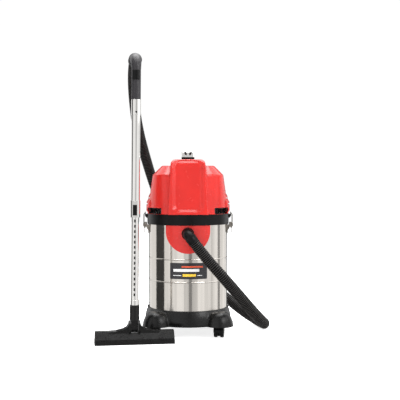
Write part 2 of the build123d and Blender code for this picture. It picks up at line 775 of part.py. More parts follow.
def make_float():
    floor_z = DECK_Z[0] - CAGE_DEPTH
    with BuildPart() as cage:
        add(ring(DECK_Z[0] - 4, DECK_Z[0] - 0.05, 62, 45.5))
        add(ring(floor_z, DECK_Z[0] - 1, 48, 45.5))
        add(ring(floor_z, floor_z + 3, 48, 8))
        for turn in range(0, 180, 30):
            with BuildSketch(Plane(origin=(0, 0, floor_z + 54), x_dir=(-sin(radians(turn)), cos(radians(turn)), 0),
                                   z_dir=(cos(radians(turn)), sin(radians(turn)), 0))):
                SlotOverall(84, 11, rotation=90)
            extrude(amount=80, both=True, mode=Mode.SUBTRACT)
    save(cage, "float_cage")
    with BuildPart() as ball:
        with Locations((0, 0, floor_z + 3.3 + FLOAT_R)):
            Sphere(FLOAT_R)
    save(ball, "float_ball")
    with BuildPart() as sleeve:
        add(ring(floor_z + 1, DECK_Z[0] - 4.2, 57, 48.4))
    save(sleeve, "filter_sleeve")


# ---- latches --------------------------------------------------------------------------------------
def along_y(x, z, radius, near, far):
    """A round pin along Y at x, z between two values of |Y|, on both sides of the middle if near > 0."""
    with BuildPart() as pin:
        with BuildSketch(Plane.XZ.offset(near)):
            with Locations((x, z)):
                Circle(radius)
        extrude(amount=far - near)
        if near > 0:
            mirror(about=Plane.XZ)
    return pin.part


def latch_sides(side, points, near, far):
    """A plate outline in XZ, made twice, at the same |Y| each side of the latch's middle."""
    with BuildPart() as made:
        with BuildSketch(Plane.XZ.offset(near)):
            with BuildLine():
                Polyline(*[(side * x, z) for x, z in points], (side * points[0][0], points[0][1]))
            make_face()
        extrude(amount=far - near)
        mirror(about=Plane.XZ)
    return made.part


def make_latches():
    x, z = PIVOT
    bail_x, bail_z = BAIL_PIVOT
    with BuildPart() as brackets:
        for side in (-1, 1):
            with BuildSketch(Plane.YZ.offset(side * 150)):
                with Locations((0, 421)):
                    RectangleRounded(26, 38, 3)
            extrude(amount=side * 12.6)
        with BuildSketch(Plane.XY.offset(300)):
            Circle(TANK_R + 0.5)
        extrude(amount=300, mode=Mode.SUBTRACT)
        for side in (-1, 1):
            ears = ((160.9, 414), (164, 414), (x + 3.4, z - 8), (x + 3.4, z + 3.6), (x - 3.4, z + 3.6),
                    (x - 4.4, z - 6), (160.9, 436))
            add(latch_sides(side, ears, 5.4, 7.6))
            add(along_y(side * x, z, 2.06, 5, 8.5), mode=Mode.SUBTRACT)
            with BuildSketch(Plane.YZ.offset(side * 150)):
                with Locations((0, 421)):
                    with GridLocations(1, 24, 1, 2):
                        Circle(RIVET_R + 0.02)
            extrude(amount=side * 20, mode=Mode.SUBTRACT)
    save(brackets, "latch_brackets")
    with BuildPart() as rivets:
        for side in (-1, 1):
            with BuildSketch(Plane.YZ.offset(side * 160.6)):
                with Locations((0, 421)):
                    with GridLocations(1, 24, 1, 2):
                        Circle(RIVET_R)
            extrude(amount=side * 3)
            with BuildSketch(Plane.YZ.offset(side * 162.65)):
                with Locations((0, 421)):
                    with GridLocations(1, 24, 1, 2):
                        Circle(RIVET_R + 1.4)
            extrude(amount=side * 1.3)
    save(rivets, "latch_rivets")
    with BuildPart() as pins:
        for side in (-1, 1):
            with BuildSketch(Plane.XZ.offset(-11)):
                with Locations((side * x, z)):
                    Circle(2)
            extrude(amount=22)
    save(pins, "latch_pins")
    for side, hand in ((-1, "left"), (1, "right")):
        with BuildPart() as lever:
            cheek = ((x - 3.6, z - 3), (x - 2.6, z + 3.6), (x + 3, z + 4), (bail_x + 3, z + 0.5),
                     (bail_x + 3.2, bail_z - 6), (x + 5.5, z - 22), (x + 3.2, z - 22))
            add(latch_sides(side, cheek, 8.6, 10.6))
            with BuildSketch(Plane.XZ.offset(-10.6)):
                with BuildLine():
                    Polyline((side * (x + 3.6), z - 13), (side * (x + 5.4), z - 13), (side * (x + 5.4), z - 30),
                             (side * (x + 7.6), z - 38), (side * (x + 6), z - 38.6), (side * (x + 3.6), z - 30),
                             (side * (x + 3.6), z - 13))
                make_face()
            extrude(amount=21.2)
            add(along_y(side * x, z, 2.06, 8, 11), mode=Mode.SUBTRACT)
            add(along_y(side * bail_x, bail_z, BAIL_WIRE_R + 0.05, 8, 11), mode=Mode.SUBTRACT)
        save(lever, f"latch_lever_{hand}")
        with BuildPart() as bail:
            with BuildLine():
                wide = BAIL_HALF
                FilletPolyline(
                    (side * bail_x, -8.8, bail_z), (side * bail_x, -wide, bail_z), (side * bail_x, -wide, 479),
                    (side * (bail_x - 6.5), -wide, 489.6), (side * (bail_x - 6.5), wide, 489.6),
                    (side * bail_x, wide, 479), (side * bail_x, wide, bail_z), (side * bail_x, 8.8, bail_z),
                    radius=2.2)
            with BuildSketch(Plane.XZ.offset(8.8)):
                with Locations((side * bail_x, bail_z)):
                    Circle(BAIL_WIRE_R)
            sweep()
        save(bail, f"latch_bail_{hand}")


# ---- hose and wand --------------------------------------------------------------------------------
def make_hose_elbow():
    """The swivelling connector in the inlet: a spigot, a short bend and the mouth that the hose goes into."""
    mouth = Vector(*HOSE_ROUTE[0])
    heading = (Vector(*HOSE_ROUTE[1]) - mouth).normalized()
    start = Vector(0, -174, INLET_Z)
    with BuildPart() as elbow:
        with BuildLine():
            bend = TangentArc(start, mouth - heading * ELBOW_LIP, tangent=(0, -1, 0))
            Line(bend @ 1, mouth)
        with BuildSketch(Plane(origin=start, x_dir=(1, 0, 0), z_dir=(0, -1, 0))):
            Circle(ELBOW_R)
        sweep(transition=Transition.ROUND)
        with BuildSketch(Plane.XZ.offset(142)):
            with Locations((0, INLET_Z)):
                Circle(INLET_R - 0.1)
        extrude(amount=33)
        with BuildSketch(Plane.XZ.offset(136)):
            with Locations((0, INLET_Z)):
                Circle(INLET_R - 3)
        extrude(amount=48, mode=Mode.SUBTRACT)
    save(elbow, "hose_elbow")


def make_hose():
    points = [Vector(*p) for p in HOSE_ROUTE]
    runs = [b - a for a, b in zip(points, points[1:])]
    radii = []
    for before, after in zip(runs, runs[1:]):
        half_turn = radians(before.get_angle(after)) / 2
        radii.append(0.45 * min(before.length, after.length) / tan(half_turn))
    print("hose radii", [round(r) for r in radii])
    with BuildPart() as hose:
        with BuildLine() as route:
            FilletPolyline(*points, radius=radii)
        with BuildSketch(Plane(origin=points[0], z_dir=runs[0].normalized())):
            Circle(HOSE_R)
        sweep()
    length = sum(edge.length for edge in route.edges())
    print("hose length", round(length), "volume ratio", round(hose.part.volume / (pi * HOSE_R**2 * length), 4))
    save(hose, "suction_hose")


def bend_path(h):
    """The grip's line: up the wand's axis, then over and down behind it."""
    foot = wand_plane(h).origin
    up = Vector(WAND_LEAN, 0, 1).normalized()
    back = Vector(-sin(radians(GRIP_HEADING)), cos(radians(GRIP_HEADING)), 0)
    turn = radians(GRIP_TURN)
    top = foot + back * (GRIP_BEND_R * (1 - cos(turn))) + up * (GRIP_BEND_R * sin(turn))
    ahead = back * sin(turn) + up * cos(turn)
    return foot, up, top, ahead


def make_grip():
    foot, up, top, ahead = bend_path(GRIP_STRAIGHT_Z)
    with BuildPart() as grip:
        with BuildSketch(wand_plane(UPPER_TUBE_Z[1] + 0.1)):
            Circle(GRIP_R)
        extrude(amount=GRIP_STRAIGHT_Z - UPPER_TUBE_Z[1])
        with BuildSketch(wand_plane(SOCKET_Z + 4)):
            Circle(SPIGOT_R)
        extrude(amount=60)
        with BuildLine():
            TangentArc(foot, top, tangent=up)
        with BuildSketch(wand_plane(GRIP_STRAIGHT_Z)):
            Circle(GRIP_R)
        with BuildSketch(Plane(origin=top, z_dir=ahead)):
            Circle(GRIP_END_R)
        sweep(multisection=True)
        with BuildSketch(wand_plane(SOCKET_Z)):
            Circle(GRIP_BORE_R)
        extrude(amount=GRIP_STRAIGHT_Z - SOCKET_Z + 6, mode=Mode.SUBTRACT)
        with BuildSketch(Plane(origin=top, z_dir=-ahead)):
            Circle(GRIP_BORE_R + 4)
        extrude(amount=22, mode=Mode.SUBTRACT)
        with BuildSketch(wand_plane(REGULATOR_Z[1] - 12.5 - REGULATOR_TRAVEL)):
            with Locations((0, -18)):
                Rectangle(6.6, 14)
        extrude(amount=REGULATOR_TRAVEL + 11, mode=Mode.SUBTRACT)
        with BuildSketch(catch_plane()):
            Circle(CATCH_R + 0.2)
        extrude(amount=30, mode=Mode.SUBTRACT)
    save(grip, "wand_grip")
    with BuildPart() as slider:
        with BuildSketch(wand_plane(REGULATOR_Z[0])):
            Circle(GRIP_R + 3)
            Circle(GRIP_R + 0.35, mode=Mode.SUBTRACT)
            with Locations((0, -20)):
                Rectangle(28, 20, mode=Mode.INTERSECT)
        extrude(amount=REGULATOR_Z[1] - REGULATOR_Z[0])
        with BuildSketch(wand_plane(REGULATOR_Z[1] - 12)):
            with Locations((0, -17)):
                Rectangle(5.8, 5)
        extrude(amount=10)
    save(slider, "regulator_slider")
    with BuildPart() as cuff:
        with BuildSketch(Plane(origin=top + ahead * 0.1, z_dir=ahead)):
            Circle(HOSE_CUFF_R)
        extrude(amount=CUFF_L)
        fillet(cuff.edges().filter_by(GeomType.CIRCLE), 3)
        with BuildSketch(Plane(origin=top + ahead, z_dir=-ahead)):
            Circle(GRIP_BORE_R + 3.8)
        extrude(amount=19)
    save(cuff, "hose_cuff")
    print("cuff mouth", [round(v, 1) for v in top + ahead * (CUFF_L + 0.1)], "heading", ahead)


def catch_plane():
    """Where the catch button comes through the tube, looking in towards the wand's axis."""
    here = wand_plane(CATCH_Z)
    return Plane(origin=here.origin + Vector(2, -UPPER_TUBE_R - 3, 0), x_dir=(1, 0, 0), z_dir=(0, 1, 0))


def make_tubes():
    wall = TUBE_WALL
    with BuildPart() as upper:
        with BuildSketch(wand_plane(UPPER_TUBE_Z[0])):
            Circle(UPPER_TUBE_R)
        extrude(amount=SOCKET_Z - UPPER_TUBE_Z[0] + 1)
        with BuildSketch(wand_plane(SOCKET_Z)):
            Circle(UPPER_TUBE_R + 1.5)
        extrude(amount=UPPER_TUBE_Z[1] - SOCKET_Z)
        with BuildSketch(wand_plane(UPPER_TUBE_Z[0] - 1)):
            Circle(UPPER_TUBE_R - wall)
        extrude(amount=SOCKET_Z - UPPER_TUBE_Z[0] + 3, mode=Mode.SUBTRACT)
        with BuildSketch(wand_plane(SOCKET_Z + 1)):
            Circle(SPIGOT_R + 0.1)
        extrude(amount=80, mode=Mode.SUBTRACT)
        with BuildSketch(catch_plane()):
            Circle(CATCH_R + 0.2)
        extrude(amount=12, mode=Mode.SUBTRACT)
    save(upper, "upper_tube")
    with BuildPart() as sleeve:
        with BuildSketch(wand_plane(SLEEVE_Z[0])):
            Circle(SLEEVE_R)
            with Locations((0, -SLEEVE_R + 2)):
                Rectangle(20, 7)
        extrude(amount=SLEEVE_Z[1] - SLEEVE_Z[0])
        with BuildSketch(wand_plane(SLEEVE_Z[0] - 1)):
            Circle(LOWER_TUBE_R + RUN_FIT)
        extrude(amount=80, mode=Mode.SUBTRACT)
        with BuildSketch(wand_plane(UPPER_TUBE_Z[0] - 0.1)):
            Circle(UPPER_TUBE_R + 0.05)
        extrude(amount=80, mode=Mode.SUBTRACT)
        with BuildSketch(wand_plane(BUTTON_Z[0] + 12 - BUTTON_TRAVEL)):
            with Locations((0, -SLEEVE_R - 1)):
                Rectangle(5.6, 5)
        extrude(amount=10.6 + BUTTON_TRAVEL, mode=Mode.SUBTRACT)
    save(sleeve, "tube_sleeve")
    with BuildPart() as button:
        with BuildSketch(wand_plane(BUTTON_Z[0])):
            with Locations((0, -SLEEVE_R - 4.1)):
                RectangleRounded(15.6, 4.6, 1.2)
        extrude(amount=BUTTON_Z[1] - BUTTON_Z[0])
        with BuildSketch(wand_plane(BUTTON_Z[0] + 12.3)):
            with Locations((0, -SLEEVE_R - 0.6)):
                Rectangle(5, 3.8)
        extrude(amount=10)
    save(button, "lock_button")
    with BuildPart() as catch:
        with BuildSketch(catch_plane()):
            Circle(CATCH_R)
        extrude(amount=8.4)
        with BuildSketch(catch_plane()):
            Circle(20)
        extrude(amount=2, mode=Mode.SUBTRACT)
    save(catch, "catch_button")
    with BuildPart() as lower:
        with BuildSketch(wand_plane(LOWER_TUBE_Z[0])):
            Circle(LOWER_TUBE_R)
        extrude(amount=LOWER_TUBE_Z[1] - LOWER_TUBE_Z[0])
        with BuildSketch(wand_plane(NECK_TOP_Z + 0.1)):
            Circle(LOWER_TUBE_R + 1.8)
        extrude(amount=19)
        with BuildSketch(wand_plane(LOWER_TUBE_Z[0] - 1)):
            Circle(LOWER_TUBE_R - wall)
        extrude(amount=600, mode=Mode.SUBTRACT)
        for step in range(NOTCHES):
            with BuildSketch(wand_plane(NOTCH_FROM_Z + step * NOTCH_PITCH)):
                with Locations((0, -LOWER_TUBE_R)):
                    Rectangle(7.5, 3)
            extrude(amount=11, mode=Mode.SUBTRACT)
    save(lower, "lower_tube")


def nozzle_plane(height):
    """The floor tool's own plane: x along its width, y towards its back."""
    turn = radians(NOZZLE_TURN)
    centre = (WAND_FOOT[0] + WAND_LEAN * TILT_Z, WAND_FOOT[1], height)
    return Plane(origin=centre, x_dir=(cos(turn), sin(turn), 0), z_dir=(0, 0, 1))


def nozzle_pin(radius, near, far):
    """Round bosses on the tilt axis, at both ends from near to far."""
    turn = radians(NOZZLE_TURN)
    along = Vector(cos(turn), sin(turn), 0)
    with BuildPart() as pin:
        for side in (1, -1):
            with BuildSketch(Plane(origin=nozzle_plane(TILT_Z).origin + along * (side * near), z_dir=along * side)):
                Circle(radius)
            extrude(amount=far - near)
    return pin.part


def make_nozzle():
    side, face = NOZZLE_W / 2 - NOZZLE_LIP, NOZZLE_D / 2 - NOZZLE_LIP
    base = nozzle_plane(0)
    side_plane = Plane(origin=base.origin, x_dir=base.y_dir, z_dir=base.x_dir)
    front_plane = Plane(origin=base.origin, x_dir=base.x_dir, z_dir=-base.y_dir)
    with BuildPart() as neck:
        with BuildSketch(wand_plane(NECK_Z)):
            Circle(NECK_R)
        extrude(amount=NECK_TOP_Z - NECK_Z)
        with BuildSketch(nozzle_plane(TILT_Z)):
            Rectangle(26, 30)
        extrude(amount=NECK_Z + 2 - TILT_Z)
        add(nozzle_pin(DRUM_R, 0, 13))
        with BuildSketch(wand_plane(LOWER_TUBE_Z[0] - 0.5)):
            Circle(LOWER_TUBE_R + 0.05)
        extrude(amount=80, mode=Mode.SUBTRACT)
        with BuildSketch(nozzle_plane(20)):
            Circle(11)
        extrude(amount=120, mode=Mode.SUBTRACT)
        add(nozzle_pin(PIN_R, 12.5, 19))
    save(neck, "nozzle_neck")
    with BuildPart() as body:
        with BuildSketch(side_plane.offset(-side)) as profile:
            with BuildLine():
                Polyline((-face, INSERT_H + 0.1), (-face, 20), (-13, 48), (13, 48), (face, 20),
                         (face, INSERT_H + 0.1), (-face, INSERT_H + 0.1))
            make_face()
            fillet(profile.vertices().group_by(Axis.Z)[1:], 4)
        extrude(amount=2 * side)
        with BuildSketch(front_plane.offset(-19)):
            with BuildLine():
                Polyline((-96, 34), (-96, 47.5), (-70, 49), (-44, 55), (-30, 62), (-22, 74), (22, 74), (30, 62),
                         (44, 55), (70, 49), (96, 47.5), (96, 34), (-96, 34))
            make_face()
        extrude(amount=38)
        with BuildSketch(nozzle_plane(42.6)):
            Rectangle(26.8, 120)
        extrude(amount=80, mode=Mode.SUBTRACT)
        add(nozzle_pin(26.5, 13.4, 22))
        with BuildSketch(nozzle_plane(INSERT_H + 0.1)):
            Rectangle(NOZZLE_W - 40, 30)
        extrude(amount=20, mode=Mode.SUBTRACT)
        with BuildSketch(nozzle_plane(INSERT_H)):
            Circle(11)
        extrude(amount=50, mode=Mode.SUBTRACT)
        add(nozzle_pin(PIN_R + RUN_FIT, 12, 19.3), mode=Mode.SUBTRACT)
        for end in (-1, 1):
            for rib in range(RIBS):
                with BuildSketch(side_plane.offset(end * (side - 9 - rib * RIB_SPACING) - 3)):
                    with BuildLine():
                        Polyline((-face - 1.8, INSERT_H + 2), (-face - 1.8, 21.6), (-14.9, 49.4), (-11.5, 46.5),
                                 (-face + 1.6, INSERT_H + 2), (-face - 1.8, INSERT_H + 2))
                    make_face()
                extrude(amount=6)
    save(body, "nozzle_body")
    with BuildPart() as insert:
        with BuildSketch(base):
            RectangleRounded(NOZZLE_W, NOZZLE_D, 4)
            Rectangle(NOZZLE_W - 40, 30, mode=Mode.SUBTRACT)
        extrude(amount=INSERT_H)
    save(insert, "nozzle_insert")
    with BuildPart() as strips:
        with BuildSketch(nozzle_plane(0.8)):
            with Locations((0, -13.6), (0, 13.6)):
                Rectangle(NOZZLE_W - 42, 2.4)
        extrude(amount=22)
    save(strips, "squeegee_strips")


os.makedirs("parts", exist_ok=True)
make_trolley_base()
for end, y in (("front", -LOBE_XY[1]), ("rear", LOBE_XY[1])):
    for hand, x in (("left", -LOBE_XY[0]), ("right", LOBE_XY[0])):
        make_caster(f"{end}_{hand}", x, y, CASTER_TURN[f"{end}_{hand}"])
make_tank_drum()
make_inlet_plate()
make_inlet_socket()
make_inlet_nut()
make_inlet_deflector()
make_head_base()
make_tank_gasket()
make_head_cover()
make_vent_grilles()
make_carry_handle()
make_handle_feet()
make_switch()
make_cable_gland()
make_cover_screws()
make_motor()
make_rotor()
make_float()
make_latches()
make_hose_elbow()
make_hose()
make_grip()
make_tubes()
make_nozzle()
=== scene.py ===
"""Looks of the shop vacuum: materials for every CAD node, the ribbed hose, the drum's label and seam, studio and camera.

Metres, in the CAD's frame: the origin is on the floor under the drum's axis, +Z is up and the inlet faces -Y.
"""

import bpy, bmesh, math
from mathutils import Matrix, Quaternion, Vector


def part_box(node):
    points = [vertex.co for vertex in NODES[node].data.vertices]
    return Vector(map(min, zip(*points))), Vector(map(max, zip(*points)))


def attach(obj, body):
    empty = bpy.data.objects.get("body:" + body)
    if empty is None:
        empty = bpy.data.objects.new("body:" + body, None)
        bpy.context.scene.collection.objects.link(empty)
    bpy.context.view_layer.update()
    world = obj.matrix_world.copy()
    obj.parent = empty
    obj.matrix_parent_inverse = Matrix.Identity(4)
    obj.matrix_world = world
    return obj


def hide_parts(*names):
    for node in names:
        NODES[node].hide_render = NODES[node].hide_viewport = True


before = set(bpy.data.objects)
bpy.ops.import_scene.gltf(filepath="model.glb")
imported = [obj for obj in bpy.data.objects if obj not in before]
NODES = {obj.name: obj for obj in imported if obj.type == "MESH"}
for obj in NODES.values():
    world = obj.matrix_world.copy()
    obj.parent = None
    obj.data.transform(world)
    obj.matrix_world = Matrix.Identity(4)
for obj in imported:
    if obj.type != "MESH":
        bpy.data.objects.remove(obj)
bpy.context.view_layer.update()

# ---- sizes --------------------------------------------------------------------------------
DRUM_R = 0.160
HOSE_D = 0.045
RIB_PITCH = 0.0078
RIB_DEPTH = 0.0028
HOSE_ROUTE = (
    (0.0217, -0.1987, 0.3801), (0.066, -0.1864, 0.321), (0.128, -0.194, 0.252),
    (0.196, -0.158, 0.172), (0.250, -0.116, 0.106), (0.298, -0.060, 0.050),
    (0.321, 0.022, 0.023), (0.296, 0.124, 0.0226), (0.228, 0.204, 0.057),
    (0.130, 0.262, 0.134), (0.024, 0.290, 0.248), (-0.072, 0.286, 0.396),
    (-0.138, 0.262, 0.560), (-0.184, 0.206, 0.712), (-0.216, 0.104, 0.850),
    (-0.225, 0.022, 0.966), (-0.222, -0.070, 1.056), (-0.2084, -0.1767, 1.0848),
)


# ---- materials ----------------------------------------------------------------------------
class Shader:
    """A Principled material with a few helpers for adding nodes."""

    def __init__(self, name):
        self.material = bpy.data.materials.new(name)
        self.material.use_nodes = True
        self.tree = self.material.node_tree
        self.bsdf = self.tree.nodes["Principled BSDF"]

    def add(self, kind, **values):
        node = self.tree.nodes.new(kind)
        for key, value in values.items():
            setattr(node, key, value)
        return node

    def put(self, node, **values):
        for key, value in values.items():
            socket = node.inputs[key.replace("_", " ")]
            if isinstance(value, bpy.types.NodeSocket):
                self.tree.links.new(value, socket)
            else:
                socket.default_value = value
        return node

    def place(self, stretch):
        """The point in metres, with each axis scaled to stretch what is drawn with it."""
        where = self.add("ShaderNodeTexCoord").outputs["Object"]
        return self.put(self.add("ShaderNodeMapping"), Vector=where, Scale=stretch).outputs[0]

    def noise(self, place, scale, detail=3.0, rough=0.5):
        node = self.put(self.add("ShaderNodeTexNoise"), Vector=place, Scale=scale, Detail=detail, Roughness=rough)
        return node.outputs["Fac"]

    def span(self, value, low, high, start=0.3, end=0.7):
        node = self.put(self.add("ShaderNodeMapRange"), Value=value)
        for socket, number in zip(node.inputs[1:5], (start, end, low, high)):
            socket.default_value = number
        return node.outputs["Result"]

    def mix(self, amount, first, second):
        node = self.add("ShaderNodeMix", data_type="RGBA")
        for socket, value in ((node.inputs[0], amount), (node.inputs[6], first), (node.inputs[7], second)):
            if isinstance(value, bpy.types.NodeSocket):
                self.tree.links.new(value, socket)
            else:
                socket.default_value = value
        return node.outputs[2]

    def edges(self, radius):
        """The rounded normal of edges, and how far it leans from the face's own: 0 on flats, more on edges."""
        rounded = self.put(self.add("ShaderNodeBevel", samples=6), Radius=radius).outputs[0]
        flat = self.add("ShaderNodeNewGeometry").outputs["Normal"]
        dot = self.add("ShaderNodeVectorMath", operation="DOT_PRODUCT")
        self.tree.links.new(rounded, dot.inputs[0])
        self.tree.links.new(flat, dot.inputs[1])
        return rounded, self.span(dot.outputs["Value"], 1.0, 0.0, 0.70, 0.96)

    def bump(self, height, strength, distance, normal=None):
        node = self.put(self.add("ShaderNodeBump"), Height=height, Strength=strength, Distance=distance)
        if normal is not None:
            self.tree.links.new(normal, node.inputs["Normal"])
        return node.outputs[0]


def rgba(colour, shade=1.0):
    return (colour[0] * shade, colour[1] * shade, colour[2] * shade, 1.0)


def moulded(name, colour, rough, grain=0.25, grain_scale=1400, radius=0.0012, edge_wear_and_highlight=1.5, specular=0.5, coat=0.0):
    """Moulded plastic: spark-eroded grain, faint flow marks, handling shine and paler edges, part wear from
    handling and part painted highlight.
    """
    s = Shader(name)
    here = s.place((1, 1, 1))
    flow = s.noise(here, 9, 4)
    handled = s.noise(here, 38, 6, 0.65)
    rounded, edge = s.edges(radius)
    body = s.mix(s.span(flow, 0, 1), rgba(colour, 0.90), rgba(colour, 1.07))
    # Paler colour on edges where the handling noise allows: part wear, part a painted highlight along the edges.
    wear_and_highlight = s.add("ShaderNodeMath", operation="MULTIPLY")
    s.tree.links.new(edge, wear_and_highlight.inputs[0])
    s.tree.links.new(s.span(handled, 0.1, 0.8, 0.35, 0.65), wear_and_highlight.inputs[1])
    pale = tuple(min(1.0, c * edge_wear_and_highlight + 0.012 * (edge_wear_and_highlight - 1)) for c in colour)
    s.put(s.bsdf, Base_Color=s.mix(wear_and_highlight.outputs[0], body, rgba(pale)))
    s.put(s.bsdf, Roughness=s.span(handled, rough - 0.06, rough + 0.10), Metallic=0.0)
    s.put(s.bsdf, Normal=s.bump(s.noise(here, grain_scale, 2), grain, 0.0004, rounded))
    s.bsdf.inputs["Specular IOR Level"].default_value = specular
    if coat:
        s.bsdf.inputs["Coat Weight"].default_value = coat
        s.bsdf.inputs["Coat Roughness"].default_value = 0.12
    return s.material


def metal(name, colour, rough, stretch=(1, 1, 1), line_scale=600, line=0.08, radius=0.0006, stain=0.92, patchy=0.10,
          painted_streak=1.0):
    """Bare or plated metal: draw or brush lines along the stretched axis, smudges, brighter edges, and, where
    painted_streak is below 1, darker streaks along that axis painted in as a reflection.
    """
    s = Shader(name)
    here = s.place((1, 1, 1))
    along = s.place(stretch)
    smudge = s.noise(here, 14, 6, 0.6)
    lines = s.noise(along, line_scale, 4, 0.6)
    rounded, edge = s.edges(radius)
    body = s.mix(s.span(smudge, 0, 1), rgba(colour, stain), rgba(colour))
    # Darker streaks along the stretched axis in the colour: a painted reflection of dark surroundings.
    if painted_streak < 1.0:
        body = s.mix(s.span(s.noise(along, line_scale / 6, 2, 0.5), 1, 0, 0.35, 0.62), body, rgba(colour, painted_streak))
    s.put(s.bsdf, Base_Color=s.mix(edge, body, rgba(tuple(min(1.0, c * 1.15) for c in colour))), Metallic=1.0)
    varied = s.add("ShaderNodeMath", operation="ADD")
    s.tree.links.new(s.span(smudge, rough, rough + patchy), varied.inputs[0])
    s.tree.links.new(s.span(lines, 0.0, 0.05), varied.inputs[1])
    s.put(s.bsdf, Roughness=varied.outputs[0])
    s.put(s.bsdf, Normal=s.bump(lines, line, 0.0002, rounded))
    return s.material


def drum_steel():
    """Polished rolled sheet: faint upright waves from rolling, fine lines round the drum, water smudges."""
    s = Shader("drum_steel")
    here = s.place((1, 1, 1))
    waves = s.noise(s.place((1, 1, 0.015)), 34, 3, 0.55)
    lines = s.noise(s.place((0.04, 0.04, 1)), 1500, 3, 0.6)
    smudge = s.noise(here, 16, 6, 0.62)
    rounded, edge = s.edges(0.0006)
    steel = (0.74, 0.70, 0.65)
    body = s.mix(s.span(waves, 0, 1, 0.42, 0.58), rgba(steel, 0.86), rgba(steel, 1.04))
    s.put(s.bsdf, Base_Color=s.mix(s.span(smudge, 0, 0.30), body, rgba(steel, 0.88)), Metallic=1.0)
    s.put(s.bsdf, Roughness=s.span(smudge, 0.10, 0.17), Anisotropic=0.9, Anisotropic_Rotation=0.25)
    s.put(s.bsdf, Tangent=s.add("ShaderNodeTangent", direction_type="RADIAL", axis="Z").outputs[0])
    soft = s.bump(waves, 0.03, 0.003, rounded)
    s.put(s.bsdf, Normal=s.bump(lines, 0.04, 0.0002, soft))
    return s.material


def hose_rubber():
    """Matt black hose plastic with patches of dust: darker between its ribs as painted shade, greyer on their
    crests as a painted highlight.
    """
    s = Shader("hose_black")
    here = s.place((1, 1, 1))
    dust = s.noise(here, 60, 5, 0.6)
    crest = s.add("ShaderNodeAttribute", attribute_name="crest").outputs["Fac"]
    # Valleys near black as painted shade between the ribs, crests paler as a painted highlight, each varied by
    # dust.
    valley_shade = s.mix(s.span(dust, 0, 1, 0.45, 0.75), (0.0008, 0.0008, 0.0008, 1), (0.002, 0.0019, 0.0018, 1))
    wear_and_highlight = s.mix(s.span(dust, 0, 1, 0.35, 0.70), (0.014, 0.0125, 0.012, 1), (0.034, 0.031, 0.029, 1))
    s.put(s.bsdf, Base_Color=s.mix(crest, valley_shade, wear_and_highlight), Roughness=s.span(dust, 0.28, 0.42))
    s.put(s.bsdf, Normal=s.bump(s.noise(here, 900, 2), 0.12, 0.0003))
    s.put(s.bsdf, Specular_IOR_Level=s.span(crest, 0.03, 0.34, 0.2, 1.0))
    return s.material


def foam(name, colour):
    """Open-cell foam: small pores, darkened with painted shade, in a soft matt body."""
    s = Shader(name)
    here = s.place((1, 1, 1))
    pores = s.put(s.add("ShaderNodeTexVoronoi"), Vector=here, Scale=650).outputs["Distance"]
    s.put(s.bsdf, Base_Color=s.mix(s.span(pores, 0, 1, 0.1, 0.5), rgba(colour, 0.45), rgba(colour)), Roughness=0.95)
    s.put(s.bsdf, Normal=s.bump(pores, 0.8, 0.001))
    return s.material


def windings():
    """Laminated iron with copper showing: stacked sheets round the axis."""
    s = Shader("motor_core")
    sheets = s.noise(s.place((0.02, 0.02, 1)), 1600, 2)
    patches = s.noise(s.place((1, 1, 1)), 45, 3)
    tone = s.mix(s.span(patches, 0, 1, 0.45, 0.55), (0.16, 0.15, 0.15, 1), (0.42, 0.17, 0.07, 1))
    s.put(s.bsdf, Base_Color=tone, Metallic=0.8, Roughness=s.span(sheets, 0.35, 0.6))
    s.put(s.bsdf, Normal=s.bump(sheets, 0.4, 0.0004))
    return s.material


LONG_Z = (1, 1, 0.02)
MATERIALS = {
    "black_plastic": moulded("black_plastic", (0.0034, 0.0034, 0.0036), 0.30, edge_wear_and_highlight=3.0, specular=0.16),
    # The nozzle's paler rib edges are mostly a painted highlight.
    "tool_plastic": moulded("tool_plastic", (0.0035, 0.0032, 0.0032), 0.27, edge_wear_and_highlight=5.0, specular=0.30),
    "trolley_plastic": moulded("trolley_plastic", (0.0032, 0.0030, 0.0030), 0.26, edge_wear_and_highlight=4.0, specular=0.34),
    "caster_black": moulded("caster_black", (0.003, 0.003, 0.0033), 0.32, grain=0.15, edge_wear_and_highlight=3.0, specular=0.14),
    "grip_plastic": moulded("grip_plastic", (0.020, 0.018, 0.021), 0.42, grain=0.5, grain_scale=1100, edge_wear_and_highlight=2.2,
                            specular=0.45),
    "red_plastic": moulded("red_plastic", (0.62, 0.017, 0.012), 0.20, grain=0.06, grain_scale=1700, radius=0.0012,
                           edge_wear_and_highlight=1.10, specular=0.5),
    "switch_red": moulded("switch_red", (0.60, 0.02, 0.015), 0.22, grain=0.05, edge_wear_and_highlight=1.3),
    "float_white": moulded("float_white", (0.78, 0.77, 0.72), 0.42, grain=0.1, edge_wear_and_highlight=1.1),
    "rubber": moulded("rubber", (0.014, 0.014, 0.014), 0.62, grain=0.5, grain_scale=800, edge_wear_and_highlight=2.0, specular=0.25),
    "carbon": moulded("carbon", (0.02, 0.02, 0.02), 0.7, grain=0.5, edge_wear_and_highlight=2.0),
    "drum_steel": drum_steel(),
    "chrome": metal("chrome", (0.88, 0.865, 0.84), 0.015, LONG_Z, 1500, 0.004, patchy=0.025, painted_streak=0.86),
    "zinc_steel": metal("zinc_steel", (0.38, 0.35, 0.31), 0.22, (1, 1, 1), 500, 0.12, painted_streak=0.6),
    "motor_alloy": metal("motor_alloy", (0.60, 0.60, 0.60), 0.36, (1, 1, 1), 900, 0.35),
    "copper": metal("copper", (0.80, 0.36, 0.20), 0.25, LONG_Z, 700, 0.2),
    "motor_core": windings(),
    "hose_black": hose_rubber(),
    "foam": foam("foam", (0.16, 0.16, 0.165)),
}

